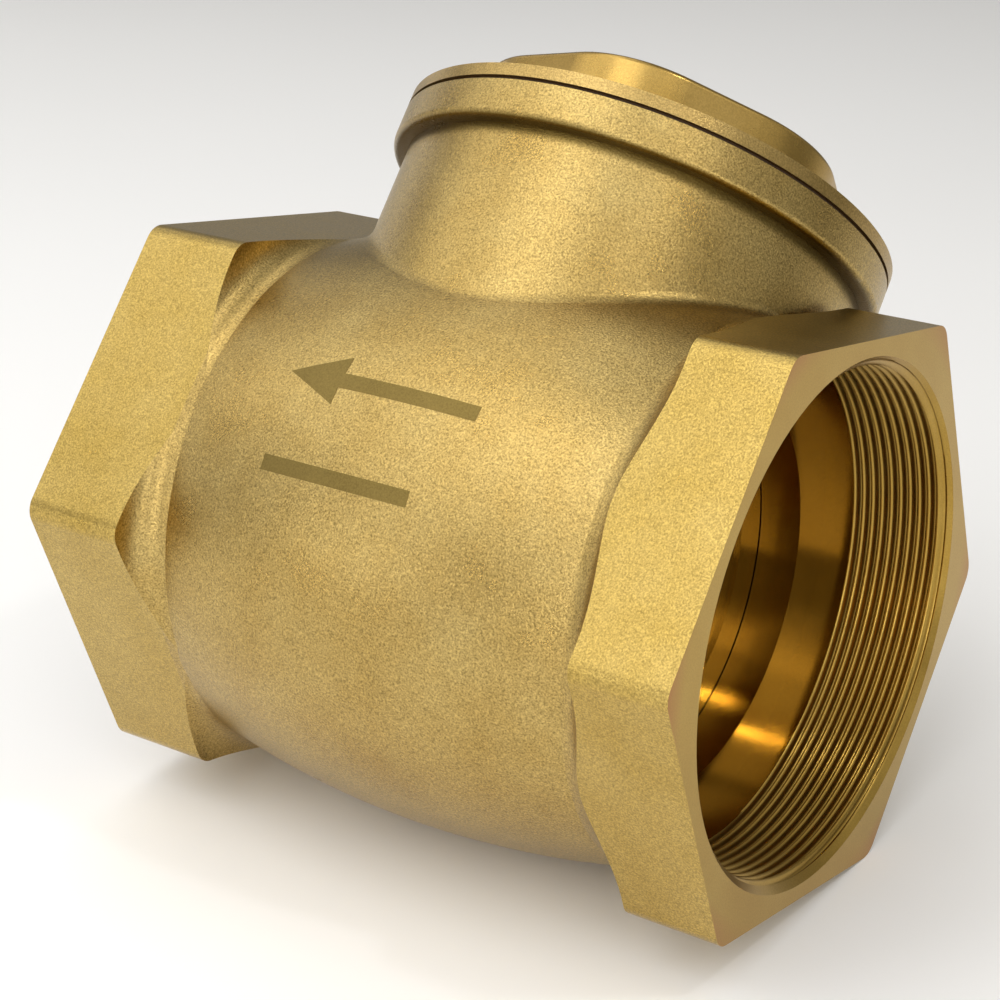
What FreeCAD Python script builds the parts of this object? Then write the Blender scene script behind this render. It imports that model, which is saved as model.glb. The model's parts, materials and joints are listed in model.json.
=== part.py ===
"""Brass swing check valve, DN 100, female pipe threads at both ends, millimetres.

Every piece is drawn in the valve's own axes: X along the flow axis, Z along the bonnet axis, and the
origin where the two cross. The valve is then set down as it lies on a bench, on its belly and on one
corner of each hexagon, so each piece gets a placement that leans the bonnet over and moves the centre of
the inlet's end face to the origin. Water comes in at the inlet (+X) and leaves towards -X.
"""
import FreeCAD, Part
import math
import os
import re

import Sketcher
from FreeCAD import Placement, Rotation, Vector

doc = FreeCAD.newDocument("check_valve")

# Driving sizes. Lengths in millimetres, angles in degrees.
SIZES = [
    # body, outside
    ("face_length", 163.0, "end face to end face"),
    ("hex_flats", 122.0, "across the flats of both hexagonal ends"),
    ("hex_corner", 5.0, "corner rounding of the hexagons"),
    ("inlet_hex_width", 22.0, "inlet hexagon, along the flow"),
    ("outlet_hex_width", 25.4, "outlet hexagon, along the flow"),
    ("flare_radius", 7.0, "cast blend from the barrel up to a hexagon"),
    ("belly_proud", 5.4, "barrel at its fattest, beyond the hexagons' flats"),
    ("barrel_step", 2.36, "from the flats down to the barrel's inlet end"),
    ("waist_core", 5.0, "metal outside the seat's bore that the waist cut leaves"),
    ("wall", 5.0, "cast wall of the barrel"),
    ("neck_radius", 55.6, "outside of the bonnet neck"),
    ("flange_radius", 59.5, "rim on top of the neck, and the cap's rim"),
    ("flange_thick", 8.4, "rim on top of the neck"),
    ("rim_gap", 6.34, "from the hexagons' corners up to the rim"),
    ("flange_edge", 1.6, "rounding under the rim"),
    ("crease_fillet", 4.0, "blend between neck and barrel"),
    # ports
    ("thread_crest", 55.035, "crest radius of the G4 female thread"),
    ("thread_mouth", 57.4, "countersink at the end face"),
    ("thread_length", 24.0, "depth of full thread"),
    ("relief_radius", 57.0, "run-out groove behind the thread"),
    ("port_depth", 32.0, "end face to the pipe stop"),
    ("seat_bore", 45.0, "radius of the water way through the seat"),
    ("seat_offset", 39.5, "bonnet axis to the seat"),
    ("outlet_bore", 52.0, "radius of the opening from chamber to outlet"),
    ("outlet_lip", 6.0, "thickness of the ring around that opening"),
    # bonnet neck, inside
    ("neck_bore", 49.0, "crest radius of the bonnet thread"),
    ("bore_floor_rise", 3.0, "from the hinge axis up to the bottom of that bore"),
    ("pocket_radius", 43.5, "narrower bore below it, in front of the seat wall"),
    ("pocket_drop", 7.5, "from the hinge axis down to the bottom of that pocket"),
    ("cut_overrun", 1.0, "how far a cut runs on past the face that it opens"),
    # bonnet cap and its gasket
    ("gasket_thick", 0.9, "flat ring between neck and cap"),
    ("gasket_setback", 1.1, "how far its edge stays inside the rim"),
    ("gasket_bore_gap", 0.5, "between the gasket and the neck's thread"),
    ("cap_rim", 2.9, "thickness of the cap's rim"),
    ("boss_flats", 85.0, "across the flats of the cap's wrench boss"),
    ("boss_corner", 27.0, "corner rounding of the boss"),
    ("boss_height", 13.0, "boss above the rim"),
    ("boss_turn", -17.0, "where the screwed cap came to rest, angle of a corner from the flow axis"),
    ("boss_edge", 1.2, "rounding of the boss's top edge"),
    ("cap_spigot", 14.0, "screwed length below the rim"),
    ("cap_recess", 41.0, "radius of the hollow inside the spigot"),
    ("boss_recess", 34.0, "radius of the hollow inside the boss"),
    ("cap_crown", 7.5, "metal left above the hollow"),
    ("thread_clearance", 0.15, "between male and female thread envelopes"),
    # hinge
    ("hinge_below_seat", 4.0, "hinge axis downstream of the seat face"),
    ("hinge_drop", 7.4, "from the barrel's top down to the hinge axis"),
    ("pin_radius", 4.0, "hinge pin"),
    ("pin_clearance", 0.05, "around the pin in the body and in the arm"),
    ("hub_radius", 7.0, "hub of the arm"),
    ("hub_half", 19.6, "half the hub's length"),
    ("hub_gap", 0.4, "between the hub and each ear"),
    ("slot_gap", 0.8, "between the hub and the slot it turns in"),
    ("ear_radius", 8.5, "ears that carry the pin"),
    ("ear_root", 33.0, "where the ears end in the wall, from the mid plane"),
    ("pin_end_play", 0.5, "between the pin and each end of its hole"),
    ("pin_blind", 32.0, "blind end of the pin hole from the mid plane"),
    ("plug_face", 50.5, "boss face for the side plug from the mid plane"),
    ("plug_boss_radius", 11.0, "boss for the side plug"),
    ("plug_thread", 6.6, "radius of the side plug's thread"),
    ("plug_flats", 19.0, "across the flats of the side plug"),
    ("plug_head", 6.0, "head of the side plug"),
    ("washer_thick", 1.5, "sealing ring under the side plug"),
    # flap
    ("seat_land", 4.0, "overlap of the disc on the seat"),
    ("disc_thick", 7.0, "valve disc at its rim"),
    ("disc_gap", 0.2, "closed disc to seat"),
    ("face_ring_inset", 9.0, "from the seat's bore in to the step turned in the disc's face"),
    ("face_step", 0.8, "depth of that step"),
    ("disc_bevel", 0.8, "bevel of the disc's edges"),
    ("stud_bevel", 1.0, "bevel at the end of the stud"),
    ("stud_radius", 7.0, "shoulder that the arm's eye turns on"),
    ("screw_radius", 6.0, "threaded end of the stud"),
    ("eye_gap", 0.3, "play of the eye on the stud, each way"),
    ("eye_radius", 15.0, "eye of the arm"),
    ("arm_thick", 7.0, "arm, along the flow"),
    ("arm_top_width", 11.0, "arm just under the hub, half its width"),
    ("rib_height", 5.0, "stiffening rib on the arm's back"),
    ("rib_thick", 6.0, "stiffening rib on the arm's back"),
    ("rib_sink", 1.0, "rib below the arm's surface, and clear of the eye"),
    ("pin_end_round", 0.8, "rounded ends of the hinge pin"),
    ("nut_flats", 19.0, "across the flats of the disc nut"),
    ("nut_thick", 10.0, "disc nut"),
    ("nut_bevel", 1.2, "bevel on the nut's outer face"),
    ("nut_face_step", 0.1, "from the nut's flats in to its bevel"),
    ("nut_washer_radius", 12.0, "washer under the disc nut"),
    ("nut_washer_thick", 2.0, "washer under the disc nut"),
    ("stud_tail", 8.0, "stud beyond the nut"),
    ("split_pin_radius", 1.25, "split pin"),
    ("split_pin_leg", 9.0, "half of its length"),
    ("split_pin_bend", 3.75, "how far each leg is bent over"),
    ("split_pin_eye", 2.75, "outside radius of its eye"),
    ("split_pin_flat", 1.75, "thickness of its eye and legs"),
    ("ring_setback", 0.5, "how far the plug's sealing ring stays inside its boss"),
]

# Sizes that follow from the ones above.
TIED_SIZES = [
    ("belly_radius", "hex_flats / 2 + belly_proud", "barrel at its fattest"),
    ("barrel_drop", "belly_proud + barrel_step", "from the belly down to the barrel's inlet end"),
    ("belly_arc", "((face_length / 2 - inlet_hex_width) ^ 2 + barrel_drop ^ 2) / (2 * barrel_drop)",
     "radius of the barrel's bulge, seen from the side"),
    ("flange_top", "(hex_flats / 2 - hex_corner) * 2 / sqrt(3) + hex_corner + rim_gap + flange_thick",
     "top of the neck above the flow axis"),
    ("hinge_height", "belly_radius - hinge_drop", "hinge axis above the flow axis"),
    ("neck_bore_floor", "hinge_height + bore_floor_rise", "bottom of the wide neck bore"),
    ("pocket_floor", "hinge_height - pocket_drop", "bottom of the pocket below it"),
    ("disc_radius", "seat_bore + seat_land", "valve disc"),
    ("face_ring", "seat_bore - face_ring_inset", "radius of the step turned in the disc's face"),
]

sheet = doc.addObject("Spreadsheet::Sheet", "Sizes")
for row, (alias, value, note) in enumerate(SIZES + TIED_SIZES, start=1):
    sheet.set(f"A{row}", alias)
    sheet.set(f"B{row}", f"={value}")
    sheet.set(f"C{row}", note)
    sheet.setAlias(f"B{row}", alias)
    doc.recompute()


def size(name):
    """A cell of the sheet, as a number."""
    return float(sheet.get(name))


NAMES = {alias for alias, _, _ in SIZES + TIED_SIZES}


def cells(expression):
    """An expression with each size's name written as the cell it stands for."""
    return re.sub(r"[a-z_]+", lambda word: f"Sizes.{word[0]}" if word[0] in NAMES else word[0], expression)


def value_of(expression):
    """What an expression over the sheet's cells comes to now."""
    found = sheet.evalExpression(cells(expression))
    return float(getattr(found, "Value", found))


# The bench: the valve rolls until the belly and the next corner of the hexagons both touch.
corner_axis = (size("hex_flats") / 2 - size("hex_corner")) * 2 / math.sqrt(3)
corner_reach = math.degrees(math.acos((size("belly_radius") - size("hex_corner")) / corner_axis))
LEAN = 60.0 - corner_reach
BENCH = Placement(Vector(-size("face_length") / 2, 0, 0), Rotation(Vector(1, 0, 0), -LEAN))

PLANE_ROLES = {"XY": "XY_Plane", "XZ": "XZ_Plane", "YZ": "YZ_Plane"}


def new_body(label):
    body = doc.addObject("PartDesign::Body", label)
    body.Label = label
    return body


def new_sketch(body, name, plane, offset=None):
    """A sketch on one of the body's origin planes, moved along that plane's normal by an expression."""
    sketch = body.newObject("Sketcher::SketchObject", name)
    role = PLANE_ROLES[plane]
    support = next(feature for feature in body.Origin.OriginFeatures if feature.Role == role)
    sketch.AttachmentSupport = [(support, "")]
    sketch.MapMode = "FlatFace"
    if offset:
        sketch.AttachmentOffset = Placement(Vector(0, 0, value_of(offset)), Rotation())
        sketch.setExpression("AttachmentOffset.Base.z", cells(offset))
    return sketch


def bind(sketch, constraint, expression):
    """Add a dimension to a sketch and tie it to the sheet."""
    index = sketch.addConstraint(constraint)
    sketch.setExpression(f"Constraints[{index}]", cells(expression))


def outline(sketch, points):
    """A closed outline. Each point is (x, y) or (x, y, arc radius, bulge side) for an arc to the next."""
    spots = [Vector(value_of(point[0]), value_of(point[1]), 0) for point in points]
    edges = []
    for index, point in enumerate(points):
        start = spots[index]
        end = spots[(index + 1) % len(points)]
        if len(point) == 2:
            edges.append(sketch.addGeometry(Part.LineSegment(start, end)))
            continue
        radius = value_of(point[2])
        chord = end - start
        side = Vector(-chord.y, chord.x, 0).normalize() * point[3]
        sagitta = radius - math.sqrt(radius ** 2 - (chord.Length / 2) ** 2)
        middle = (start + end) / 2 + side * sagitta
        clockwise = point[3] > 0
        arc = Part.Arc(end, middle, start) if clockwise else Part.Arc(start, middle, end)
        edges.append(sketch.addGeometry(arc))
    heads = []
    for index, edge in enumerate(edges):
        line = sketch.Geometry[edge]
        flipped = (line.StartPoint - spots[index]).Length > (line.EndPoint - spots[index]).Length
        heads.append((2, 1) if flipped else (1, 2))
    for index, point in enumerate(points):
        edge = edges[index]
        after = edges[(index + 1) % len(edges)]
        tail = heads[index][1]
        head = heads[(index + 1) % len(heads)][0]
        sketch.addConstraint(Sketcher.Constraint("Coincident", edge, tail, after, head))
        spot = spots[index]
        first = heads[index][0]
        bind(sketch, Sketcher.Constraint("DistanceX", -1, 1, edge, first, spot.x), point[0])
        bind(sketch, Sketcher.Constraint("DistanceY", -1, 1, edge, first, spot.y), point[1])
        if len(point) > 2:
            bind(sketch, Sketcher.Constraint("Radius", edge, value_of(point[2])), point[2])


def circle(sketch, x, y, radius):
    """A circle placed and sized by expressions."""
    centre = Vector(value_of(x), value_of(y), 0)
    ring = sketch.addGeometry(Part.Circle(centre, Vector(0, 0, 1), value_of(radius)))
    bind(sketch, Sketcher.Constraint("DistanceX", -1, 1, ring, 3, centre.x), x)
    bind(sketch, Sketcher.Constraint("DistanceY", -1, 1, ring, 3, centre.y), y)
    bind(sketch, Sketcher.Constraint("Radius", ring, value_of(radius)), radius)


def hexagon(sketch, flats, first_corner, x="0", y="0"):
    """A hexagon about a centre, its first corner at an angle in degrees."""
    outline(sketch, [
        (f"{x} + {flats} / sqrt(3) * cos({first_corner} + {turned})",
         f"{y} + {flats} / sqrt(3) * sin({first_corner} + {turned})")
        for turned in range(0, 360, 60)
    ])


def pad(body, sketch, name, length, reverse=False, both=False):
    feature = body.newObject("PartDesign::Pad", name)
    feature.Profile = sketch
    feature.Length = value_of(length)
    feature.setExpression("Length", cells(length))
    feature.Reversed = reverse
    feature.Midplane = both
    return feature


def pocket(body, sketch, name, length, reverse=False, both=False):
    feature = body.newObject("PartDesign::Pocket", name)
    feature.Profile = sketch
    feature.Length = value_of(length)
    feature.setExpression("Length", cells(length))
    feature.Reversed = reverse
    feature.Midplane = both
    return feature


def spin(body, sketch, name, kind, axis):
    """A full Revolution or Groove about one of the sketch's own axes."""
    feature = body.newObject(f"PartDesign::{kind}", name)
    feature.Profile = sketch
    feature.ReferenceAxis = (sketch, [axis])
    feature.Angle = 360.0
    return feature


def round_edges(body, base, name, radius, keep):
    """Fillet the edges of a feature that a test on the edge accepts."""
    doc.recompute()
    names = [f"Edge{number}" for number, edge in enumerate(base.Shape.Edges, start=1) if keep(edge)]
    if not names:
        raise RuntimeError(f"{name} found no edges to round")
    feature = body.newObject("PartDesign::Fillet", name)
    feature.Base = (base, names)
    feature.Radius = value_of(radius)
    feature.setExpression("Radius", cells(radius))
    return feature


# Places along the flow axis and the profile of the barrel, as expressions over the sheet.
END = "face_length / 2"
INLET_STEP = f"({END} - inlet_hex_width)"
OUTLET_STEP = f"({END} - outlet_hex_width)"
INLET_STOP = f"({END} - port_depth)"
SEAT = "seat_offset"
CHAMBER_END = f"({END} - port_depth - outlet_lip)"
HINGE_X = f"({SEAT} - hinge_below_seat)"
FLANGE_BOTTOM = "(flange_top - flange_thick)"
CAP_SEAT = "(flange_top + gasket_thick)"
CAP_TOP = f"({CAP_SEAT} + cap_rim)"
BOSS_TOP = f"({CAP_TOP} + boss_height)"
EAR_INNER = "(hub_half + hub_gap)"


def barrel(x, skin="0"):
    """Radius of the barrel at x, a skin below its outside."""
    return f"(belly_radius - belly_arc + sqrt((belly_arc - {skin}) ^ 2 - {x} ^ 2))"


# ---- Body: a brass casting, machined at the ports, the seat, the bonnet thread and the pin hole ----

valve_body = new_body("valve_body")

hex_sketch = new_sketch(valve_body, "hexagon_outline", "YZ")
hexagon(hex_sketch, "hex_flats", "90")
hex_bar = pad(valve_body, hex_sketch, "hexagon_bar", "face_length", both=True)
bar_corners = round_edges(
    valve_body, hex_bar, "hexagon_corners", "hex_corner", lambda edge: edge.Length > size("face_length") - 1
)

# The waist is cut away between the hexagons and leaves a cast blend on each.
waist_sketch = new_sketch(valve_body, "waist_profile", "XZ")
clear_of_corners = "(hex_flats / sqrt(3) + cut_overrun)"
core_radius = "(seat_bore + waist_core)"
inlet_foot = f"({INLET_STEP} - flare_radius)"
outlet_foot = f"({OUTLET_STEP} - flare_radius)"
outline(waist_sketch, [
    (INLET_STEP, clear_of_corners),
    (INLET_STEP, f"{barrel(inlet_foot)} + flare_radius", "flare_radius", 1),
    (inlet_foot, barrel(inlet_foot)),
    (inlet_foot, core_radius),
    (f"-{outlet_foot}", core_radius),
    (f"-{outlet_foot}", barrel(outlet_foot), "flare_radius", 1),
    (f"-{OUTLET_STEP}", f"{barrel(outlet_foot)} + flare_radius"),
    (f"-{OUTLET_STEP}", clear_of_corners),
])
spin(valve_body, waist_sketch, "waist", "Groove", "H_Axis")

barrel_sketch = new_sketch(valve_body, "barrel_profile", "XZ")
outline(barrel_sketch, [
    (INLET_STEP, "0"),
    (INLET_STEP, barrel(INLET_STEP), "belly_arc", -1),
    (f"-{OUTLET_STEP}", barrel(OUTLET_STEP)),
    (f"-{OUTLET_STEP}", "0"),
])
spin(valve_body, barrel_sketch, "barrel", "Revolution", "H_Axis")

neck_sketch = new_sketch(valve_body, "neck_profile", "YZ")
outline(neck_sketch, [
    ("0", "0"),
    ("neck_radius", "0"),
    ("neck_radius", FLANGE_BOTTOM),
    ("flange_radius", FLANGE_BOTTOM),
    ("flange_radius", "flange_top"),
    ("0", "flange_top"),
])
neck = spin(valve_body, neck_sketch, "neck", "Revolution", "V_Axis")


def in_the_crease(edge):
    """The long edges between the neck's cylinder and the barrel, one in front and two at the back."""
    spots = [edge.valueAt(edge.FirstParameter + share * (edge.LastParameter - edge.FirstParameter))
             for share in (0.1, 0.5, 0.9)]
    on_neck = all(abs(math.hypot(spot.x, spot.y) - size("neck_radius")) < 0.01 for spot in spots)
    below_rim = all(0 < spot.z < value_of(FLANGE_BOTTOM) - 1 for spot in spots)
    return on_neck and below_rim and edge.Length > size("neck_radius")


crease = round_edges(valve_body, neck, "crease", "crease_fillet", in_the_crease)


def under_the_rim(edge):
    """The lower outer edge of the rim on the neck."""
    box = edge.BoundBox
    level = abs(box.ZMin - value_of(FLANGE_BOTTOM)) < 0.01 and box.ZLength < 0.01
    return level and box.XLength > 2 * size("flange_radius") - 0.1


round_edges(valve_body, crease, "rim_edge", "flange_edge", under_the_rim)

# Boss for the side plug, on the back of the neck.
boss_sketch = new_sketch(valve_body, "plug_boss_outline", "XZ", "-plug_face")
circle(boss_sketch, HINGE_X, "hinge_height", "plug_boss_radius")
pad(valve_body, boss_sketch, "plug_boss", "plug_face - ear_root")

# Water way: the threaded ports, the seat and the chamber, all turned about the flow axis.
beyond = f"({END} + cut_overrun)"
mouth_depth = "(thread_mouth - thread_crest)"


def port(name, side, bore, inner):
    """A threaded port with its countersink, run-out groove and pipe stop."""
    sketch = new_sketch(valve_body, f"{name}_profile", "XZ")
    outline(sketch, [
        (f"{side}{beyond}", "0"),
        (f"{side}{beyond}", "thread_mouth + cut_overrun"),
        (f"{side}({END} - {mouth_depth})", "thread_crest"),
        (f"{side}({END} - thread_length)", "thread_crest"),
        (f"{side}({END} - thread_length)", "relief_radius"),
        (f"{side}{INLET_STOP}", "relief_radius"),
        (f"{side}{INLET_STOP}", bore),
        (f"{side}{inner}", bore),
        (f"{side}{inner}", "0"),
    ])
    return spin(valve_body, sketch, name, "Groove", "H_Axis")


port("inlet_port", "", "seat_bore", SEAT)
port("outlet_port", "-", "outlet_bore", CHAMBER_END)

chamber_sketch = new_sketch(valve_body, "chamber_profile", "XZ")
outline(chamber_sketch, [
    (SEAT, "0"),
    (SEAT, barrel(SEAT, "wall"), "belly_arc - wall", -1),
    (f"-{CHAMBER_END}", barrel(CHAMBER_END, "wall")),
    (f"-{CHAMBER_END}", "0"),
])
spin(valve_body, chamber_sketch, "chamber", "Groove", "H_Axis")

# Bonnet neck: the wide threaded bore, and under it a narrower one that stays clear of the seat's wall.
bore_sketch = new_sketch(valve_body, "neck_bore_outline", "XY", "neck_bore_floor")
circle(bore_sketch, "0", "0", "neck_bore")
pocket(valve_body, bore_sketch, "neck_bore", "flange_top - neck_bore_floor + cut_overrun", reverse=True)

recess_sketch = new_sketch(valve_body, "hinge_recess_outline", "XY", "pocket_floor")
circle(recess_sketch, "0", "0", "pocket_radius")
pocket(valve_body, recess_sketch, "hinge_recess", "neck_bore_floor - pocket_floor + cut_overrun", reverse=True)

throat_sketch = new_sketch(valve_body, "throat_outline", "XY")
throat_half = f"sqrt(pocket_radius ^ 2 - {SEAT} ^ 2)"
outline(throat_sketch, [
    (SEAT, f"-{throat_half}"),
    (SEAT, throat_half, "pocket_radius", -1),
    ("-pocket_radius", "0", "pocket_radius", -1),
])
pocket(valve_body, throat_sketch, "throat", "pocket_floor + cut_overrun", reverse=True)

slot_sketch = new_sketch(valve_body, "hub_slot_outline", "XY", "hinge_height - hub_radius - slot_gap")
outline(slot_sketch, [
    (f"{HINGE_X} - hub_radius", f"-{EAR_INNER}"),
    (f"{HINGE_X} + hub_radius + slot_gap", f"-{EAR_INNER}"),
    (f"{HINGE_X} + hub_radius + slot_gap", EAR_INNER),
    (f"{HINGE_X} - hub_radius", EAR_INNER),
])
slot_height = "neck_bore_floor - hinge_height + hub_radius + 2 * slot_gap"
pocket(valve_body, slot_sketch, "hub_slot", slot_height, reverse=True)

# Ears for the hinge pin, one on each side of the arm's hub.
for side, name in (("", "front_ear"), ("-", "back_ear")):
    ear_sketch = new_sketch(valve_body, f"{name}_outline", "XZ", f"{side}ear_root")
    circle(ear_sketch, HINGE_X, "hinge_height", "ear_radius")
    pad(valve_body, ear_sketch, name, f"ear_root - {EAR_INNER}", reverse=(side == ""))

# Pin hole, blind at the front, and the threaded hole of the side plug at the back.
pin_sketch = new_sketch(valve_body, "pin_hole_outline", "XZ", "pin_blind")
circle(pin_sketch, HINGE_X, "hinge_height", "pin_radius + pin_clearance")
pocket(valve_body, pin_sketch, "pin_hole", "pin_blind + ear_root + cut_overrun")
plug_sketch = new_sketch(valve_body, "plug_hole_outline", "XZ", "-ear_root")
circle(plug_sketch, HINGE_X, "hinge_height", "plug_thread + thread_clearance")
pocket(valve_body, plug_sketch, "plug_hole", "plug_face - ear_root + cut_overrun")


def upright_on_boss(edge):
    """A corner edge of the wrench boss."""
    box = edge.BoundBox
    tall = abs(box.ZLength - size("boss_height")) < 0.01
    return tall and box.XLength < 0.01 and box.YLength < 0.01 and box.ZMin > value_of(CAP_TOP) - 0.01


def on_boss_top(edge):
    """An edge of the boss's top face."""
    return edge.BoundBox.ZMin > value_of(BOSS_TOP) - 0.01


def is_circle(edge):
    return isinstance(edge.Curve, Part.Circle)


# ---- Bonnet cap: a screwed brass lid with a rounded hexagon for the wrench ----

bonnet_cap = new_body("bonnet_cap")
SPIGOT_END = f"({CAP_SEAT} - cap_spigot)"
lid_sketch = new_sketch(bonnet_cap, "lid_profile", "XZ")
outline(lid_sketch, [
    ("0", SPIGOT_END),
    ("neck_bore - thread_clearance", SPIGOT_END),
    ("neck_bore - thread_clearance", CAP_SEAT),
    ("flange_radius", CAP_SEAT),
    ("flange_radius", CAP_TOP),
    ("0", CAP_TOP),
])
spin(bonnet_cap, lid_sketch, "lid", "Revolution", "V_Axis")
wrench_sketch = new_sketch(bonnet_cap, "wrench_boss_outline", "XY", CAP_TOP)
hexagon(wrench_sketch, "boss_flats", "boss_turn")
wrench_boss = pad(bonnet_cap, wrench_sketch, "wrench_boss", "boss_height")
boss_corners = round_edges(bonnet_cap, wrench_boss, "boss_corners", "boss_corner", upright_on_boss)
round_edges(bonnet_cap, boss_corners, "boss_rim", "boss_edge", on_boss_top)
for name, radius, ceiling in (("wide_hollow", "cap_recess", f"{CAP_SEAT} - cut_overrun"),
                              ("deep_hollow", "boss_recess", f"{BOSS_TOP} - cap_crown")):
    hollow_sketch = new_sketch(bonnet_cap, f"{name}_outline", "XY", SPIGOT_END)
    circle(hollow_sketch, "0", "0", radius)
    pocket(bonnet_cap, hollow_sketch, name, f"{ceiling} - {SPIGOT_END}", reverse=True)

# ---- Cap gasket: a flat fibre ring pinched between neck and cap ----

cap_gasket = new_body("cap_gasket")
gasket_sketch = new_sketch(cap_gasket, "gasket_outline", "XY", "flange_top")
circle(gasket_sketch, "0", "0", "flange_radius - gasket_setback")
circle(gasket_sketch, "0", "0", "neck_bore + gasket_bore_gap")
pad(cap_gasket, gasket_sketch, "gasket_ring", "gasket_thick")

# ---- Flap: a brass disc with a turned face and a stud behind it, closed against the seat ----

DISC_FACE = f"({SEAT} - disc_gap)"
DISC_BACK = f"({DISC_FACE} - disc_thick)"
STUD_SHOULDER = f"({DISC_BACK} - arm_thick - 2 * eye_gap)"
NUT_FRONT = f"({STUD_SHOULDER} - nut_washer_thick)"
NUT_BACK = f"({NUT_FRONT} - nut_thick)"
STUD_END = f"({NUT_BACK} - stud_tail)"
SPLIT_PIN_X = f"({NUT_BACK} - stud_tail / 2)"

flap_disc = new_body("flap_disc")
disc_sketch = new_sketch(flap_disc, "disc_profile", "XZ")
outline(disc_sketch, [
    (f"{DISC_FACE} - face_step", "0"),
    (f"{DISC_FACE} - face_step", "face_ring"),
    (DISC_FACE, "face_ring"),
    (DISC_FACE, "disc_radius - disc_bevel"),
    (f"{DISC_FACE} - disc_bevel", "disc_radius"),
    (f"{DISC_BACK} + disc_bevel", "disc_radius"),
    (DISC_BACK, "disc_radius - disc_bevel"),
    (DISC_BACK, "stud_radius"),
    (STUD_SHOULDER, "stud_radius"),
    (STUD_SHOULDER, "screw_radius"),
    (f"{STUD_END} + stud_bevel", "screw_radius"),
    (STUD_END, "screw_radius - stud_bevel"),
    (STUD_END, "0"),
])
spin(flap_disc, disc_sketch, "disc", "Revolution", "H_Axis")
cross_sketch = new_sketch(flap_disc, "split_pin_hole_outline", "XZ")
circle(cross_sketch, SPLIT_PIN_X, "0", "split_pin_radius + pin_clearance")
pocket(flap_disc, cross_sketch, "split_pin_hole", "4 * screw_radius", both=True)

# ---- Hinge arm: a cast arm, its hub on the pin and its eye loose on the disc's stud ----

hinge_arm = new_body("hinge_arm")
ARM_FRONT = f"({DISC_BACK} - eye_gap)"
ARM_BACK = f"({ARM_FRONT} - arm_thick)"
plate_sketch = new_sketch(hinge_arm, "arm_outline", "YZ", ARM_BACK)
web_top = "(hinge_height - hub_radius / 4)"
outline(plate_sketch, [
    ("eye_radius", "0"),
    ("arm_top_width", web_top),
    ("-arm_top_width", web_top),
    ("-eye_radius", "0", "eye_radius", -1),
    ("0", "-eye_radius", "eye_radius", -1),
])
pad(hinge_arm, plate_sketch, "arm_plate", "arm_thick")
hub_sketch = new_sketch(hinge_arm, "hub_outline", "XZ")
circle(hub_sketch, HINGE_X, "hinge_height", "hub_radius")
pad(hinge_arm, hub_sketch, "hub", "2 * hub_half", both=True)
rib_sketch = new_sketch(hinge_arm, "rib_outline", "XZ")
outline(rib_sketch, [
    (f"{ARM_BACK} + rib_sink", "eye_radius + rib_sink"),
    (f"{ARM_BACK} - rib_height", "eye_radius + rib_sink + rib_height"),
    (f"{ARM_BACK} - rib_height", "hinge_height - 2 * hub_radius"),
    (f"{HINGE_X} - hub_radius / 2", "hinge_height + hub_radius / 2"),
    (f"{ARM_BACK} + rib_sink", "hinge_height - hub_radius"),
])
pad(hinge_arm, rib_sketch, "rib", "rib_thick", both=True)
hub_bore_sketch = new_sketch(hinge_arm, "hub_bore_outline", "XZ")
circle(hub_bore_sketch, HINGE_X, "hinge_height", "pin_radius + pin_clearance")
pocket(hinge_arm, hub_bore_sketch, "hub_bore", "2 * (hub_half + cut_overrun)", both=True)
eye_sketch = new_sketch(hinge_arm, "eye_bore_outline", "YZ", f"{ARM_BACK} - cut_overrun")
circle(eye_sketch, "0", "0", "stud_radius + eye_gap")
pocket(hinge_arm, eye_sketch, "eye_bore", "arm_thick + 2 * cut_overrun", reverse=True)

# ---- Hinge pin: a drawn bar that lies loose between the blind end of its hole and the side plug ----

hinge_pin = new_body("hinge_pin")
bar_sketch = new_sketch(hinge_pin, "pin_outline", "XZ", "pin_blind - pin_end_play")
circle(bar_sketch, HINGE_X, "hinge_height", "pin_radius")
pin_bar = pad(hinge_pin, bar_sketch, "pin_bar", "pin_blind + ear_root - 2 * pin_end_play", reverse=True)
round_edges(hinge_pin, pin_bar, "pin_ends", "pin_end_round", is_circle)

# ---- Disc nut, its washer and the split pin that locks it ----

disc_washer = new_body("disc_washer")
washer_sketch = new_sketch(disc_washer, "washer_outline", "YZ", NUT_FRONT)
circle(washer_sketch, "0", "0", "nut_washer_radius")
circle(washer_sketch, "0", "0", "screw_radius + thread_clearance")
pad(disc_washer, washer_sketch, "washer_ring", "nut_washer_thick")

disc_nut = new_body("disc_nut")
nut_sketch = new_sketch(disc_nut, "nut_outline", "YZ", NUT_BACK)
hexagon(nut_sketch, "nut_flats", "0")
circle(nut_sketch, "0", "0", "screw_radius + thread_clearance")
pad(disc_nut, nut_sketch, "nut_prism", "nut_thick")
nut_bevel_sketch = new_sketch(disc_nut, "nut_bevel_profile", "XZ")
nut_round = "(nut_flats / 2 - nut_face_step)"
bevel_rise = f"(nut_flats / sqrt(3) - {nut_round})"
outline(nut_bevel_sketch, [
    (f"{NUT_BACK} - nut_bevel", f"{nut_round} - {bevel_rise}"),
    (f"{NUT_BACK} + 2 * nut_bevel", f"{nut_round} + 2 * {bevel_rise}"),
    (f"{NUT_BACK} - nut_bevel", f"{nut_round} + 2 * {bevel_rise}"),
])
spin(disc_nut, nut_bevel_sketch, "nut_bevelled", "Groove", "H_Axis")

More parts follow.
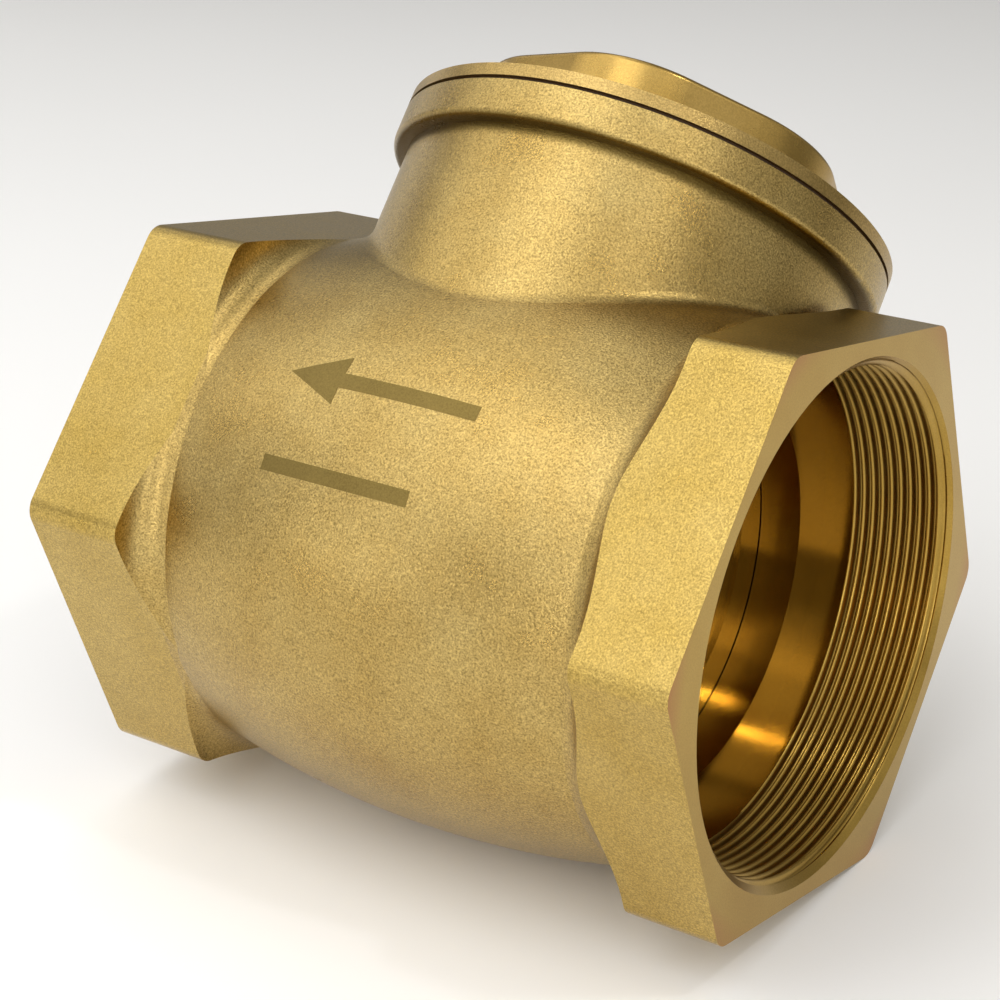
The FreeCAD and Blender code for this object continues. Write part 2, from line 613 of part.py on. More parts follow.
split_pin = new_body("split_pin")
shank_sketch = new_sketch(split_pin, "shank_outline", "XZ")
circle(shank_sketch, SPLIT_PIN_X, "0", "split_pin_radius")
pad(split_pin, shank_sketch, "shank", "2 * split_pin_leg", both=True)
legs_sketch = new_sketch(split_pin, "bent_legs_outline", "XY")
outline(legs_sketch, [
    (f"{SPLIT_PIN_X} - split_pin_bend", "split_pin_leg - split_pin_radius"),
    (f"{SPLIT_PIN_X} + split_pin_bend", "split_pin_leg - split_pin_radius"),
    (f"{SPLIT_PIN_X} + split_pin_bend", "split_pin_leg"),
    (f"{SPLIT_PIN_X} - split_pin_bend", "split_pin_leg"),
])
pad(split_pin, legs_sketch, "bent_legs", "split_pin_flat", both=True)
head_sketch = new_sketch(split_pin, "head_outline", "XY")
head_centre = "-(split_pin_leg + split_pin_radius)"
circle(head_sketch, SPLIT_PIN_X, head_centre, "split_pin_eye")
circle(head_sketch, SPLIT_PIN_X, head_centre, "split_pin_radius")
pad(split_pin, head_sketch, "head", "split_pin_flat", both=True)

# ---- Side plug and its sealing ring, which close the pin hole ----

side_plug = new_body("side_plug")
plug_shank_sketch = new_sketch(side_plug, "plug_shank_outline", "XZ", "-(ear_root + pin_clearance)")
circle(plug_shank_sketch, HINGE_X, "hinge_height", "plug_thread")
pad(side_plug, plug_shank_sketch, "plug_shank", "plug_face + washer_thick - ear_root", reverse=True)
plug_head_sketch = new_sketch(side_plug, "plug_head_outline", "XZ", "-(plug_face + washer_thick)")
hexagon(plug_head_sketch, "plug_flats", "30", HINGE_X, "hinge_height")
pad(side_plug, plug_head_sketch, "plug_hexagon", "plug_head", reverse=True)

plug_washer = new_body("plug_washer")
ring_sketch = new_sketch(plug_washer, "plug_washer_outline", "XZ", "-plug_face")
circle(ring_sketch, HINGE_X, "hinge_height", "plug_boss_radius - ring_setback")
circle(ring_sketch, HINGE_X, "hinge_height", "plug_thread + thread_clearance")
pad(plug_washer, ring_sketch, "plug_washer_ring", "washer_thick", reverse=True)


def check_and_write():
    """Stop on any failed object, then write one STEP file for each piece."""
    doc.recompute()
    for item in doc.Objects:
        if "Invalid" in item.State or "Error" in item.State:
            raise RuntimeError(f"{item.Name} failed: {item.State}")
    os.makedirs("parts", exist_ok=True)
    for piece in [item for item in doc.Objects if item.TypeId == "PartDesign::Body"]:
        piece.Placement = BENCH
        doc.recompute()
        shape = piece.Shape
        if shape.isNull() or not shape.isValid():
            raise RuntimeError(f"{piece.Label} has no valid solid")
        print(f"{piece.Label:14s} {len(shape.Solids)} solid, {shape.Volume / 1000:8.2f} cm3")
        shape.exportStep(f"parts/{piece.Label}.step")


check_and_write()
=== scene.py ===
import json
import math

import bmesh
import bpy
import numpy as np
from mathutils import Matrix, Vector
from mathutils.bvhtree import BVHTree


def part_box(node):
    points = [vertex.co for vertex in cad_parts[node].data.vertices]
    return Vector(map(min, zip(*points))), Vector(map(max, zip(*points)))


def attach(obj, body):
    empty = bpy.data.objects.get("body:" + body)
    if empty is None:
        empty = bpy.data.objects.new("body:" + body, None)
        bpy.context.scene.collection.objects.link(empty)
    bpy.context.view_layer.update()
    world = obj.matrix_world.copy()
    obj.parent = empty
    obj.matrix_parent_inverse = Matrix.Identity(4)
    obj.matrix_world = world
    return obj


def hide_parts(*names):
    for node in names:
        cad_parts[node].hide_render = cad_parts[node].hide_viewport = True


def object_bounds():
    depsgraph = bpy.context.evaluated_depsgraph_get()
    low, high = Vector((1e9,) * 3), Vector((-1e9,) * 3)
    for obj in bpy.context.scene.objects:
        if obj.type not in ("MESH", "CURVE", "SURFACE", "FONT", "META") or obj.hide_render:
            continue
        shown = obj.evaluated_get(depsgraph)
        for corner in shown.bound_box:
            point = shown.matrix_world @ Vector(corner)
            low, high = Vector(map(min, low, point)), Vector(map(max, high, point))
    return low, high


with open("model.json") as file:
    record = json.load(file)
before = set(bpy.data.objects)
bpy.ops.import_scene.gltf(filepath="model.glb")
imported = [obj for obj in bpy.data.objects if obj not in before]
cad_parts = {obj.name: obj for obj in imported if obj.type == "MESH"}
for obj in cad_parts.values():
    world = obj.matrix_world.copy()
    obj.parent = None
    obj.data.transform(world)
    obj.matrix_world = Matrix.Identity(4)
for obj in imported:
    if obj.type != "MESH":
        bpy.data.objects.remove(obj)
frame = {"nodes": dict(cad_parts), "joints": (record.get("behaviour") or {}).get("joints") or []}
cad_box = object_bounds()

# Camera: a short telephoto a little above the valve, off its inlet end, so that the near thread,
# the barrel and the leaning bonnet all show. It is placed from the centre of the inlet face.
MM = 0.001
AZIMUTH, ELEVATION, ROLL = (math.radians(a) for a in (34.954, 23.718, -1.138))
STAND = Vector((192.365, -395.955, 221.568)) * MM
LENS_MM, SENSOR_MM = 84.43, 36
view_back = Vector((
    math.sin(AZIMUTH) * math.cos(ELEVATION),
    -math.cos(AZIMUTH) * math.cos(ELEVATION),
    math.sin(ELEVATION),
))
view_right = Vector((0, 0, 1)).cross(view_back).normalized()
view_up = view_back.cross(view_right)
turned_right = math.cos(ROLL) * view_right + math.sin(ROLL) * view_up
turned_up = math.cos(ROLL) * view_up - math.sin(ROLL) * view_right
camera = bpy.data.objects.new("camera", bpy.data.cameras.new("camera"))
camera.data.lens = LENS_MM
camera.data.sensor_width = SENSOR_MM
camera.data.clip_start, camera.data.clip_end = 0.01, 20
facing = Matrix((turned_right, turned_up, view_back)).transposed().to_4x4()
camera.matrix_world = Matrix.Translation(STAND) @ facing
bpy.context.scene.collection.objects.link(camera)
bpy.context.scene.camera = camera


# Floor and light: a wide white studio table in a pale room, with soft boxes over and beside the
# valve. Brass shows mostly what it reflects, so the boxes shape its colours.
def srgb(code):
    """The linear colour, with alpha, of a hex colour such as #C8A45C."""
    parts = [int(code[i : i + 2], 16) / 255 for i in (1, 3, 5)]
    return tuple(p / 12.92 if p <= 0.04045 else ((p + 0.055) / 1.055) ** 2.4 for p in parts) + (1.0,)


def put(tree, kind, inputs=None, **settings):
    """Adds a node with its settings; each input is a value, a socket, or a node's first output."""
    node = tree.nodes.new(kind)
    for name, value in settings.items():
        setattr(node, name, value)
    for key, value in (inputs or {}).items():
        if isinstance(value, bpy.types.Node):
            value = value.outputs[0]
        if isinstance(value, bpy.types.NodeSocket):
            tree.links.new(value, node.inputs[key])
        else:
            node.inputs[key].default_value = value
    return node


def finish_for(name):
    """An empty node material, with the tree to fill."""
    material = bpy.data.materials.new(name)
    material.use_nodes = True
    material.node_tree.nodes.clear()
    return material, material.node_tree


# Table top: matt white laminate, plain and pale, with hardly any gloss.
table_white, tree = finish_for("matt_white_laminate")
cloudiness = put(tree, "ShaderNodeTexNoise", {
    "Vector": put(tree, "ShaderNodeTexCoord").outputs["Object"], "Scale": 3.0, "Detail": 2.0})
tint = put(tree, "ShaderNodeMix", {
    "Factor": cloudiness, "A": srgb("#F9F8F6"), "B": srgb("#FDFCFA")}, data_type="RGBA")
tree.links.new(
    put(tree, "ShaderNodeBsdfPrincipled", {
        "Base Color": tint.outputs["Result"], "Roughness": 0.75}).outputs[0],
    put(tree, "ShaderNodeOutputMaterial").inputs["Surface"])

TABLE_REACH = 3.0
table_level = cad_box[0].z
table_mesh = bpy.data.meshes.new("table_top")
table_shape = bmesh.new()
for corner in ((-1, -1), (1, -1), (1, 1), (-1, 1)):
    table_shape.verts.new((corner[0] * TABLE_REACH, corner[1] * TABLE_REACH, table_level))
table_shape.faces.new(table_shape.verts)
table_shape.to_mesh(table_mesh)
table_shape.free()
table_mesh.materials.append(table_white)
table_top = bpy.data.objects.new("table_top", table_mesh)
bpy.context.scene.collection.objects.link(table_top)

world = bpy.data.worlds.new("white_room")
world.use_nodes = True
bpy.context.scene.world = world
world.node_tree.nodes.clear()
room = put(world.node_tree, "ShaderNodeBackground", {"Color": srgb("#FFFDF9"), "Strength": 0.29})
put(world.node_tree, "ShaderNodeOutputWorld", {"Surface": room})


BOX_DISTANCE = 1.2


def soft_box(name, azimuth, elevation, size, watts):
    """A square white area light aimed at the middle of the valve, from an azimuth and an elevation."""
    a, e = math.radians(azimuth), math.radians(elevation)
    middle = (cad_box[0] + cad_box[1]) / 2
    out = Vector((math.sin(a) * math.cos(e), -math.cos(a) * math.cos(e), math.sin(e)))
    light = bpy.data.lights.new(name, "AREA")
    light.size = size
    light.energy = watts
    box = bpy.data.objects.new(name, light)
    aim = out.to_track_quat("Z", "Y").to_matrix().to_4x4()
    box.matrix_world = Matrix.Translation(middle + out * BOX_DISTANCE) @ aim
    bpy.context.scene.collection.objects.link(box)


# The boxes stand all round, strongest above the camera's left, and none is in its view.
# The lowest ones are smaller, which keeps them off the table.
BOX_SIZE, LOW_BOX_SIZE, LAMP_SIZE, LOW_LIMIT = 0.55, 0.34, 0.07, 20
for azimuth, elevation, watts in (
    (-110, 8, 0.36), (-70, 8, 0.6), (-30, 8, 1.2), (10, 8, 1.9), (50, 8, 1.6), (90, 8, 0.4),
    (-110, 35, 0.6), (-70, 35, 1.5), (-30, 35, 1.7), (10, 35, 2), (50, 35, 1.6), (90, 35, 0.36),
    (130, 35, 0.32), (-135, 62, 1.3), (-75, 62, 1.6), (-15, 62, 2.6), (45, 62, 0.9), (105, 62, 0.6),
    (0, 88, 0.5),
):
    size = BOX_SIZE if elevation > LOW_LIMIT else LOW_BOX_SIZE
    soft_box(f"soft_box_{azimuth}_{elevation}", azimuth, elevation, size, watts)
# A small lamp on the inlet's side leaves the glint across the thread and its relief.
soft_box("glint_lamp", 86, 58, LAMP_SIZE, 1.2)
bpy.context.scene.view_settings.view_transform = "Standard"


# Valve body: one brass sand casting, blasted all over to a sparkling satin gold. The hexagons'
# flats are dressed smoother, and the end faces and ports are bright from the lathe.
body_low, body_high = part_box("valve_body")
middle_x = (body_low.x + body_high.x) / 2
half_length = (body_high.x - body_low.x) / 2
hinge_axis = Vector(next(j for j in frame["joints"] if j["name"] == "flap_swing")["axis"])
bonnet_axis = Vector((1, 0, 0)).cross(hinge_axis)

# Where the sleeves of the port threads fit, and how far in from an end face the lathe has been.
CREST_RADIUS, SLEEVE_RADIUS, THREAD_LENGTH, TURNED_DEPTH = 55.035 * MM, 58.1 * MM, 24 * MM, 45 * MM


def merged_copy(node, name):
    """A copy of a CAD node's mesh, its loose triangles joined and its true normals kept."""
    source = frame["nodes"][node].data
    normals = np.zeros(len(source.loops) * 3, np.float32)
    source.corner_normals.foreach_get("vector", normals)
    mesh = source.copy()
    mesh.name = name
    kept = mesh.attributes.new("kept_normal", "FLOAT_VECTOR", "CORNER")
    kept.data.foreach_set("vector", normals)
    if "custom_normal" in mesh.attributes:
        mesh.attributes.remove(mesh.attributes["custom_normal"])
    shape = bmesh.new()
    shape.from_mesh(mesh)
    bmesh.ops.remove_doubles(shape, verts=shape.verts, dist=1e-6)
    shape.to_mesh(mesh)
    shape.free()
    mesh.materials.clear()
    piece = bpy.data.objects.new(name, mesh)
    bpy.context.scene.collection.objects.link(piece)
    return piece


def restore_normals(piece):
    """Shades a merged copy with the normals that its CAD faces had."""
    mesh = piece.data
    kept = np.zeros(len(mesh.loops) * 3, np.float32)
    mesh.attributes["kept_normal"].data.foreach_get("vector", kept)
    mesh.normals_split_custom_set(kept.reshape(-1, 3))
    mesh.attributes.remove(mesh.attributes["kept_normal"])


def brass(name, pale, deep, roughness, grain_mm, grain_depth_mm, sparkle, tool_marks=False, shaded_crease_rise=None):
    """Bare brass: two shades of its gold in clouds, a sparkling grain, a few pits, and lathe marks."""
    # The lathe's real marks are finer than TOOL_STEP, which is as coarse as they need to show.
    CLOUD, PIT_SPACING, TOOL_STEP = 22 * MM, 21 * MM, 0.35 * MM
    CORNER_FROM, CORNER_TO = 63.5 * MM, 69.5 * MM
    # The last of these colours is painted shade, for the crease under the neck's rim.
    PIT_STAIN, HEAT_STAIN, CREASE_PAINTED_SHADE = srgb("#4E3C1C"), srgb("#A4693C"), srgb("#57471F")
    material, tree = finish_for(name)
    place = put(tree, "ShaderNodeTexCoord").outputs["Object"]
    clouds = put(tree, "ShaderNodeTexNoise", {
        "Vector": place, "Scale": 1 / CLOUD, "Detail": 5.0, "Roughness": 0.62})
    spread = put(tree, "ShaderNodeMapRange", {
        "Value": clouds, "From Min": 0.25, "From Max": 0.75})
    gold = put(tree, "ShaderNodeMix", {
        "Factor": spread, "A": srgb(deep), "B": srgb(pale)}, data_type="RGBA")
    grain = put(tree, "ShaderNodeTexNoise", {
        "Vector": place, "Scale": 1 / (grain_mm * MM), "Detail": 2.0, "Roughness": 0.6})
    speckle = put(tree, "ShaderNodeMapRange", {
        "Value": grain, "From Min": 0.3, "From Max": 0.7, "To Min": 1 - sparkle, "To Max": 1 + sparkle})
    grained = put(tree, "ShaderNodeMix", {
        "Factor": 1.0, "A": gold.outputs["Result"], "B": speckle}, data_type="RGBA", blend_type="MULTIPLY")
    # The pits are up to 0.4 mm across, and ragged where the grain crosses them.
    pits = put(tree, "ShaderNodeTexVoronoi", {"Vector": place, "Scale": 1 / PIT_SPACING, "Randomness": 1.0})
    ragged = put(tree, "ShaderNodeMath", {
        0: grain, 1: 0.034, 2: pits.outputs["Distance"]}, operation="MULTIPLY_ADD")
    pit_edge = put(tree, "ShaderNodeMapRange", {
        "Value": ragged, "From Min": 0.022, "From Max": 0.030, "To Min": 0.6, "To Max": 0.0})
    stained = put(tree, "ShaderNodeMix", {
        "Factor": pit_edge, "A": grained.outputs["Result"], "B": PIT_STAIN}, data_type="RGBA")
    rough = put(tree, "ShaderNodeMapRange", {
        "Value": clouds, "From Min": 0.3, "From Max": 0.7,
        "To Min": roughness - 0.03, "To Max": roughness + 0.03})
    height = grain
    if tool_marks:
        apart = put(tree, "ShaderNodeSeparateXYZ", {"Vector": place})
        off_axis = put(tree, "ShaderNodeVectorMath", {
            0: put(tree, "ShaderNodeCombineXYZ", {"Y": apart.outputs["Y"], "Z": apart.outputs["Z"]})},
            operation="LENGTH")
        rings = put(tree, "ShaderNodeCombineXYZ", {"X": apart.outputs["X"], "Y": off_axis.outputs["Value"]})
        height = put(tree, "ShaderNodeTexNoise", {
            "Vector": rings, "Scale": 1 / TOOL_STEP, "Detail": 3.0, "Roughness": 0.7})
        # Heat from the cutter has left the hexagons' outermost corners a little red.
        corner = put(tree, "ShaderNodeMapRange", {
            "Value": off_axis.outputs["Value"], "From Min": CORNER_FROM, "From Max": CORNER_TO})
        patchy = put(tree, "ShaderNodeMath", {0: corner, 1: spread}, operation="MULTIPLY")
        stained = put(tree, "ShaderNodeMix", {
            "Factor": patchy, "A": stained.outputs["Result"], "B": HEAT_STAIN}, data_type="RGBA")
    if shaded_crease_rise is not None:
        # Painted shade: a band of darker olive is painted into the crease under the neck's rim, where the rim
        # shades it.
        rise = put(tree, "ShaderNodeVectorMath", {0: place, 1: bonnet_axis}, operation="DOT_PRODUCT")
        shade_below_crease = put(tree, "ShaderNodeMapRange", {
            "Value": rise.outputs["Value"],
            "From Min": shaded_crease_rise - 3.2 * MM, "From Max": shaded_crease_rise - 1.0 * MM},
            interpolation_type="SMOOTHSTEP")
        shade_above_crease = put(tree, "ShaderNodeMapRange", {
            "Value": rise.outputs["Value"],
            "From Min": shaded_crease_rise + 0.2 * MM, "From Max": shaded_crease_rise + 1.0 * MM,
            "To Min": 0.8, "To Max": 0.0})
        crease_painted_shade = put(tree, "ShaderNodeMath", {0: shade_below_crease, 1: shade_above_crease}, operation="MULTIPLY")
        stained = put(tree, "ShaderNodeMix", {
            "Factor": crease_painted_shade, "A": stained.outputs["Result"], "B": CREASE_PAINTED_SHADE}, data_type="RGBA")
    bump = put(tree, "ShaderNodeBump", {
        "Strength": 1.0, "Distance": grain_depth_mm * MM, "Height": height})
    shader = put(tree, "ShaderNodeBsdfPrincipled", {
        "Base Color": stained.outputs["Result"], "Metallic": 1.0, "Roughness": rough, "Normal": bump})
    put(tree, "ShaderNodeOutputMaterial", {"Surface": shader})
    return material


RIM_THICK = 8.4 * MM
seam_rise = min(v.co.dot(bonnet_axis) for v in frame["nodes"]["cap_gasket"].data.vertices)
# Sand-blasted cast brass: a broad, even sheen broken into fine sparkles about 0.4 mm across.
# Its crease under the neck's rim gets a band of painted shade.
blasted_brass = brass(
    "sand_blasted_cast_brass", "#B29A60", "#A2864A", roughness=0.29,
    grain_mm=0.42, grain_depth_mm=0.10, sparkle=0.44, shaded_crease_rise=seam_rise - RIM_THICK)
# Dressed brass flats: the same gold with a shallower grain, so a calmer sheen than the blasted barrel's.
dressed_brass = brass(
    "dressed_brass_flat", "#B89E5C", "#AB8F48", roughness=0.30,
    grain_mm=0.42, grain_depth_mm=0.060, sparkle=0.36)
# Lathe-turned brass: clean yellow metal with fine rings round the flow axis and clear reflections.
turned_brass = brass(
    "lathe_turned_brass", "#B39449", "#A8863B", roughness=0.15,
    grain_mm=0.40, grain_depth_mm=0.004, sparkle=0.10, tool_marks=True)

valve_body = merged_copy("valve_body", "valve_body_casting")
valve_body.data.materials.append(blasted_brass)
valve_body.data.materials.append(dressed_brass)
valve_body.data.materials.append(turned_brass)
restore_normals(valve_body)

# End faces and ports are turned, and the hexagons' flats are dressed.
HEX_FLAT, HEX_REACH, NEAR = 61 * MM, 26 * MM, 0.1 * MM
for face in valve_body.data.polygons:
    centre, normal = face.center, face.normal
    out = math.hypot(centre.y, centre.z)
    along = abs(centre.x - middle_x)
    depth = half_length - along
    stand_off = Vector((0, centre.y, centre.z)).dot(normal)
    if depth < NEAR / 2 or (out < SLEEVE_RADIUS and depth < TURNED_DEPTH):
        face.material_index = 2
    elif (depth < HEX_REACH and abs(normal.x) < 0.02
            and out > HEX_FLAT - NEAR and stand_off > HEX_FLAT - 3 * NEAR):
        face.material_index = 1

# The plain bore at each port moves outwards, to just inside the back of its thread's sleeve.
BORED_RADIUS = SLEEVE_RADIUS - 0.4 * MM
for vertex in valve_body.data.vertices:
    out = math.hypot(vertex.co.y, vertex.co.z)
    depth = half_length - abs(vertex.co.x - middle_x)
    if abs(out - CREST_RADIUS) < NEAR and depth < THREAD_LENGTH + NEAR:
        vertex.co.y *= BORED_RADIUS / out
        vertex.co.z *= BORED_RADIUS / out
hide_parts("valve_body")
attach(valve_body, "valve")


# Flow mark: an arrow along the flow and a plain bar under it, burnt into the barrel by a laser,
# which leaves the metal olive and dull. Each is a skin a twentieth of a millimetre proud.
etched_brass = brass(
    "laser_etched_brass", "#816E3D", "#726033", roughness=0.46,
    grain_mm=0.40, grain_depth_mm=0.012, sparkle=0.16)
MARK_LIFT, MARK_DEPTH, CLEAR_OF_BARREL, BARREL_RADIUS = 0.05 * MM, 0.12 * MM, 100 * MM, 65 * MM
barrel_tree = BVHTree.FromPolygons(
    [v.co for v in valve_body.data.vertices], [tuple(f.vertices) for f in valve_body.data.polygons])


def on_barrel(along, lean):
    """The point just proud of the barrel, along the flow from the middle and round from the top."""
    out = Vector((0, -math.sin(lean), math.cos(lean)))
    start = Vector((middle_x + along, 0, 0)) + out * CLEAR_OF_BARREL
    return barrel_tree.ray_cast(start, -out)[0] + out * MARK_LIFT


def mark_strip(shape, stations, lean):
    """A strip of the mark: (place along the flow, half width) stations, lying on the barrel."""
    ACROSS = 8
    rows = [[shape.verts.new(on_barrel(along, lean + half * (2 * i / ACROSS - 1) / BARREL_RADIUS))
             for i in range(ACROSS + 1)] for along, half in stations]
    for row, after in zip(rows, rows[1:]):
        for i in range(ACROSS):
            shape.faces.new((row[i], row[i + 1], after[i + 1], after[i]))


# Along the flow, in millimetres from the middle: shaft from 22 to -12, tip at -26, bar from 14 to -24.
ARROW_LEAN, BAR_LEAN = math.radians(40.6), math.radians(58.6)
LINE_HALF, HEAD_HALF, TIP_HALF = 1.7, 5.6, 0.02
SHAFT_FROM, HEAD_FROM, TIP, BAR_FROM, BAR_TO = 22, -12, -26, 14, -24
mark_shape = bmesh.new()
shaft = [(x * MM, LINE_HALF * MM) for x in np.linspace(SHAFT_FROM, HEAD_FROM, 35)]
head = [(x * MM, max((x - TIP) / (HEAD_FROM - TIP) * HEAD_HALF, TIP_HALF) * MM)
        for x in np.linspace(HEAD_FROM, TIP, 15)]
bar = [(x * MM, LINE_HALF * MM) for x in np.linspace(BAR_FROM, BAR_TO, 39)]
for stations, lean in ((shaft, ARROW_LEAN), (head, ARROW_LEAN), (bar, BAR_LEAN)):
    mark_strip(mark_shape, stations, lean)
bmesh.ops.recalc_face_normals(mark_shape, faces=mark_shape.faces)
if sum(f.normal.z for f in mark_shape.faces) < 0:
    bmesh.ops.reverse_faces(mark_shape, faces=mark_shape.faces)
bmesh.ops.solidify(mark_shape, geom=mark_shape.faces[:], thickness=MARK_DEPTH)
bmesh.ops.recalc_face_normals(mark_shape, faces=mark_shape.faces)
mark_mesh = bpy.data.meshes.new("flow_mark")
mark_shape.to_mesh(mark_mesh)
mark_shape.free()
mark_mesh.materials.append(etched_brass)
flow_mark = bpy.data.objects.new("flow_mark", mark_mesh)
bpy.context.scene.collection.objects.link(flow_mark)
flow_mark.data.shade_smooth()
flow_mark.data.set_sharp_from_angle(angle=math.radians(40))
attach(flow_mark, "valve")


# Port threads: a female pipe thread is cut on the lathe inside each end, 2.309 mm from crest to
# crest, behind a plain chamfer, and runs out into a smooth relief. Each is a sleeve in the port.
def pipe_thread_tree():
    """Geometry Nodes that wind a rounded 55 degree thread inside a port, as a closed sleeve."""
    STEPS_A_TURN, AROUND, BACK_ROWS, MATH = 10, 180, 4, "ShaderNodeMath"
    tree = bpy.data.node_groups.new("pipe_thread", "GeometryNodeTree")
    for name in ("Pitch", "Crest Radius", "Root Depth", "Mouth Radius", "Relief Radius", "Sleeve Radius",
                 "Length", "Face X", "Inward", "Start Turn"):
        tree.interface.new_socket(name, in_out="INPUT", socket_type="NodeSocketFloat")
    tree.interface.new_socket("Metal", in_out="INPUT", socket_type="NodeSocketMaterial")
    tree.interface.new_socket("Mesh", in_out="OUTPUT", socket_type="NodeSocketGeometry")
    given = put(tree, "NodeGroupInput").outputs
    pitch, length = given["Pitch"], given["Length"]

    # A flat grid carries the thread: its X runs along the winding and its Y once round the port.
    apart = put(tree, "ShaderNodeSeparateXYZ", {0: put(tree, "GeometryNodeInputPosition")})
    row = put(tree, MATH, {0: apart.outputs["X"], 1: 0.5}, operation="ADD")
    turn = put(tree, MATH, {0: apart.outputs["Y"], 1: 0.5}, operation="ADD")
    reach = put(tree, MATH, {0: pitch, 1: 2.0, 2: length}, operation="MULTIPLY_ADD")
    wound = put(tree, MATH, {0: row, 1: reach}, operation="MULTIPLY")
    advanced = put(tree, MATH, {0: turn, 1: pitch, 2: wound}, operation="MULTIPLY_ADD")
    turned = put(tree, MATH, {0: advanced, 1: pitch}, operation="SUBTRACT")
    inside = put(tree, MATH, {0: turned, 1: 0.0}, operation="MAXIMUM")
    depth = put(tree, MATH, {0: inside, 1: length}, operation="MINIMUM")

    # From crest to root and back, over one pitch; a hair is added so that no row falls on both sides.
    pitches = put(tree, MATH, {0: wound, 1: pitch}, operation="DIVIDE")
    nudged = put(tree, MATH, {0: pitches, 1: 0.0001}, operation="ADD")
    form = put(tree, "ShaderNodeFloatCurve", {"Value": put(tree, MATH, {0: nudged}, operation="FRACT")})
    points = form.mapping.curves[0].points
    shape = ((0.0, 0.0), (0.08, 0.05), (0.15, 0.18), (0.35, 0.82), (0.42, 0.95), (0.5, 1.0),
             (0.58, 0.95), (0.65, 0.82), (0.85, 0.18), (0.92, 0.05), (1.0, 0.0))
    points[0].location, points[1].location = shape[0], shape[-1]
    for x, y in shape[1:-1]:
        points.new(x, y)
    form.mapping.update()
    threaded = put(tree, MATH, {
        0: form, 1: given["Root Depth"], 2: given["Crest Radius"]}, operation="MULTIPLY_ADD")
    chamfer = put(tree, MATH, {0: given["Mouth Radius"], 1: depth}, operation="SUBTRACT")
    cut = put(tree, MATH, {0: threaded, 1: chamfer}, operation="MAXIMUM")
    at_end = put(tree, MATH, {0: depth, 1: length, 2: 0.00001}, operation="COMPARE")
    at_mouth = put(tree, MATH, {0: depth, 1: 0.0, 2: 0.00001}, operation="COMPARE")
    ended = put(tree, "ShaderNodeMix", {0: at_end, 2: cut, 3: given["Relief Radius"]})
    radius = put(tree, "ShaderNodeMix", {0: at_mouth, 2: ended, 3: given["Mouth Radius"]})

    # The sleeve's back: from the relief out to the sleeve's radius, along it, and in to the mouth.
    corner = put(tree, "FunctionNodeFloatToInt", {
        0: put(tree, MATH, {0: row, 1: BACK_ROWS - 1.0}, operation="MULTIPLY")}, rounding_mode="ROUND")
    backs = []
    for values in (
        (length, length, pitch, 0.0),
        (given["Relief Radius"], given["Sleeve Radius"], given["Sleeve Radius"], given["Mouth Radius"]),
    ):
        switch = put(tree, "GeometryNodeIndexSwitch", {"Index": corner}, data_type="FLOAT")
        while len(switch.index_switch_items) < BACK_ROWS:
            switch.index_switch_items.new()
        for i, value in enumerate(values):
            if isinstance(value, float):
                switch.inputs[1 + i].default_value = value
            else:
                tree.links.new(value, switch.inputs[1 + i])
        backs.append(switch)

    # Both grids are bent round the flow axis, and joined along their shared edges.
    started = put(tree, MATH, {0: turn, 1: given["Start Turn"]}, operation="ADD")
    circle = put(tree, MATH, {0: given["Inward"], 1: 2 * math.pi}, operation="MULTIPLY")
    angle = put(tree, MATH, {0: started, 1: circle}, operation="MULTIPLY")
    both = put(tree, "GeometryNodeJoinGeometry")
    rows = round((THREAD_LENGTH / PITCH + 2) * STEPS_A_TURN) + 1
    for count, depth_in, radius_in in ((rows, depth, radius), (BACK_ROWS, *backs)):
        grid = put(tree, "GeometryNodeMeshGrid", {
            "Size X": 1.0, "Size Y": 1.0, "Vertices X": count, "Vertices Y": AROUND + 1})
        cosine = put(tree, MATH, {0: angle}, operation="COSINE")
        sine = put(tree, MATH, {0: angle}, operation="SINE")
        placed = put(tree, "ShaderNodeCombineXYZ", {
            "X": put(tree, MATH, {
                0: depth_in, 1: given["Inward"], 2: given["Face X"]}, operation="MULTIPLY_ADD"),
            "Y": put(tree, MATH, {0: radius_in, 1: cosine}, operation="MULTIPLY"),
            "Z": put(tree, MATH, {0: radius_in, 1: sine}, operation="MULTIPLY")})
        bent = put(tree, "GeometryNodeSetPosition", {"Geometry": grid, "Position": placed})
        tree.links.new(bent.outputs[0], both.inputs[0])
    joined = put(tree, "GeometryNodeMergeByDistance", {"Geometry": both, "Distance": 0.000002})
    real = put(tree, "GeometryNodeRealizeInstances", {"Geometry": joined})
    coated = put(tree, "GeometryNodeSetMaterial", {"Geometry": real, "Material": given["Metal"]})
    put(tree, "NodeGroupOutput", {0: coated})
    return tree


def set_input(modifier, name, value):
    """Sets a Geometry Nodes input by the identifier of the socket with that name."""
    for item in modifier.node_group.interface.items_tree:
        if item.item_type == "SOCKET" and item.in_out == "INPUT" and item.name == name:
            modifier[item.identifier] = value


def made_real(carrier, name):
    """The plain mesh object that a carrier's Geometry Nodes make, its faces turned outwards."""
    evaluated = carrier.evaluated_get(bpy.context.evaluated_depsgraph_get())
    mesh = bpy.data.meshes.new_from_object(evaluated)
    bpy.data.objects.remove(carrier)
    shape = bmesh.new()
    shape.from_mesh(mesh)
    bmesh.ops.dissolve_degenerate(shape, dist=1e-7, edges=shape.edges)
    bmesh.ops.recalc_face_normals(shape, faces=shape.faces)
    shape.to_mesh(mesh)
    shape.free()
    mesh.name = name
    piece = bpy.data.objects.new(name, mesh)
    bpy.context.scene.collection.objects.link(piece)
    return piece


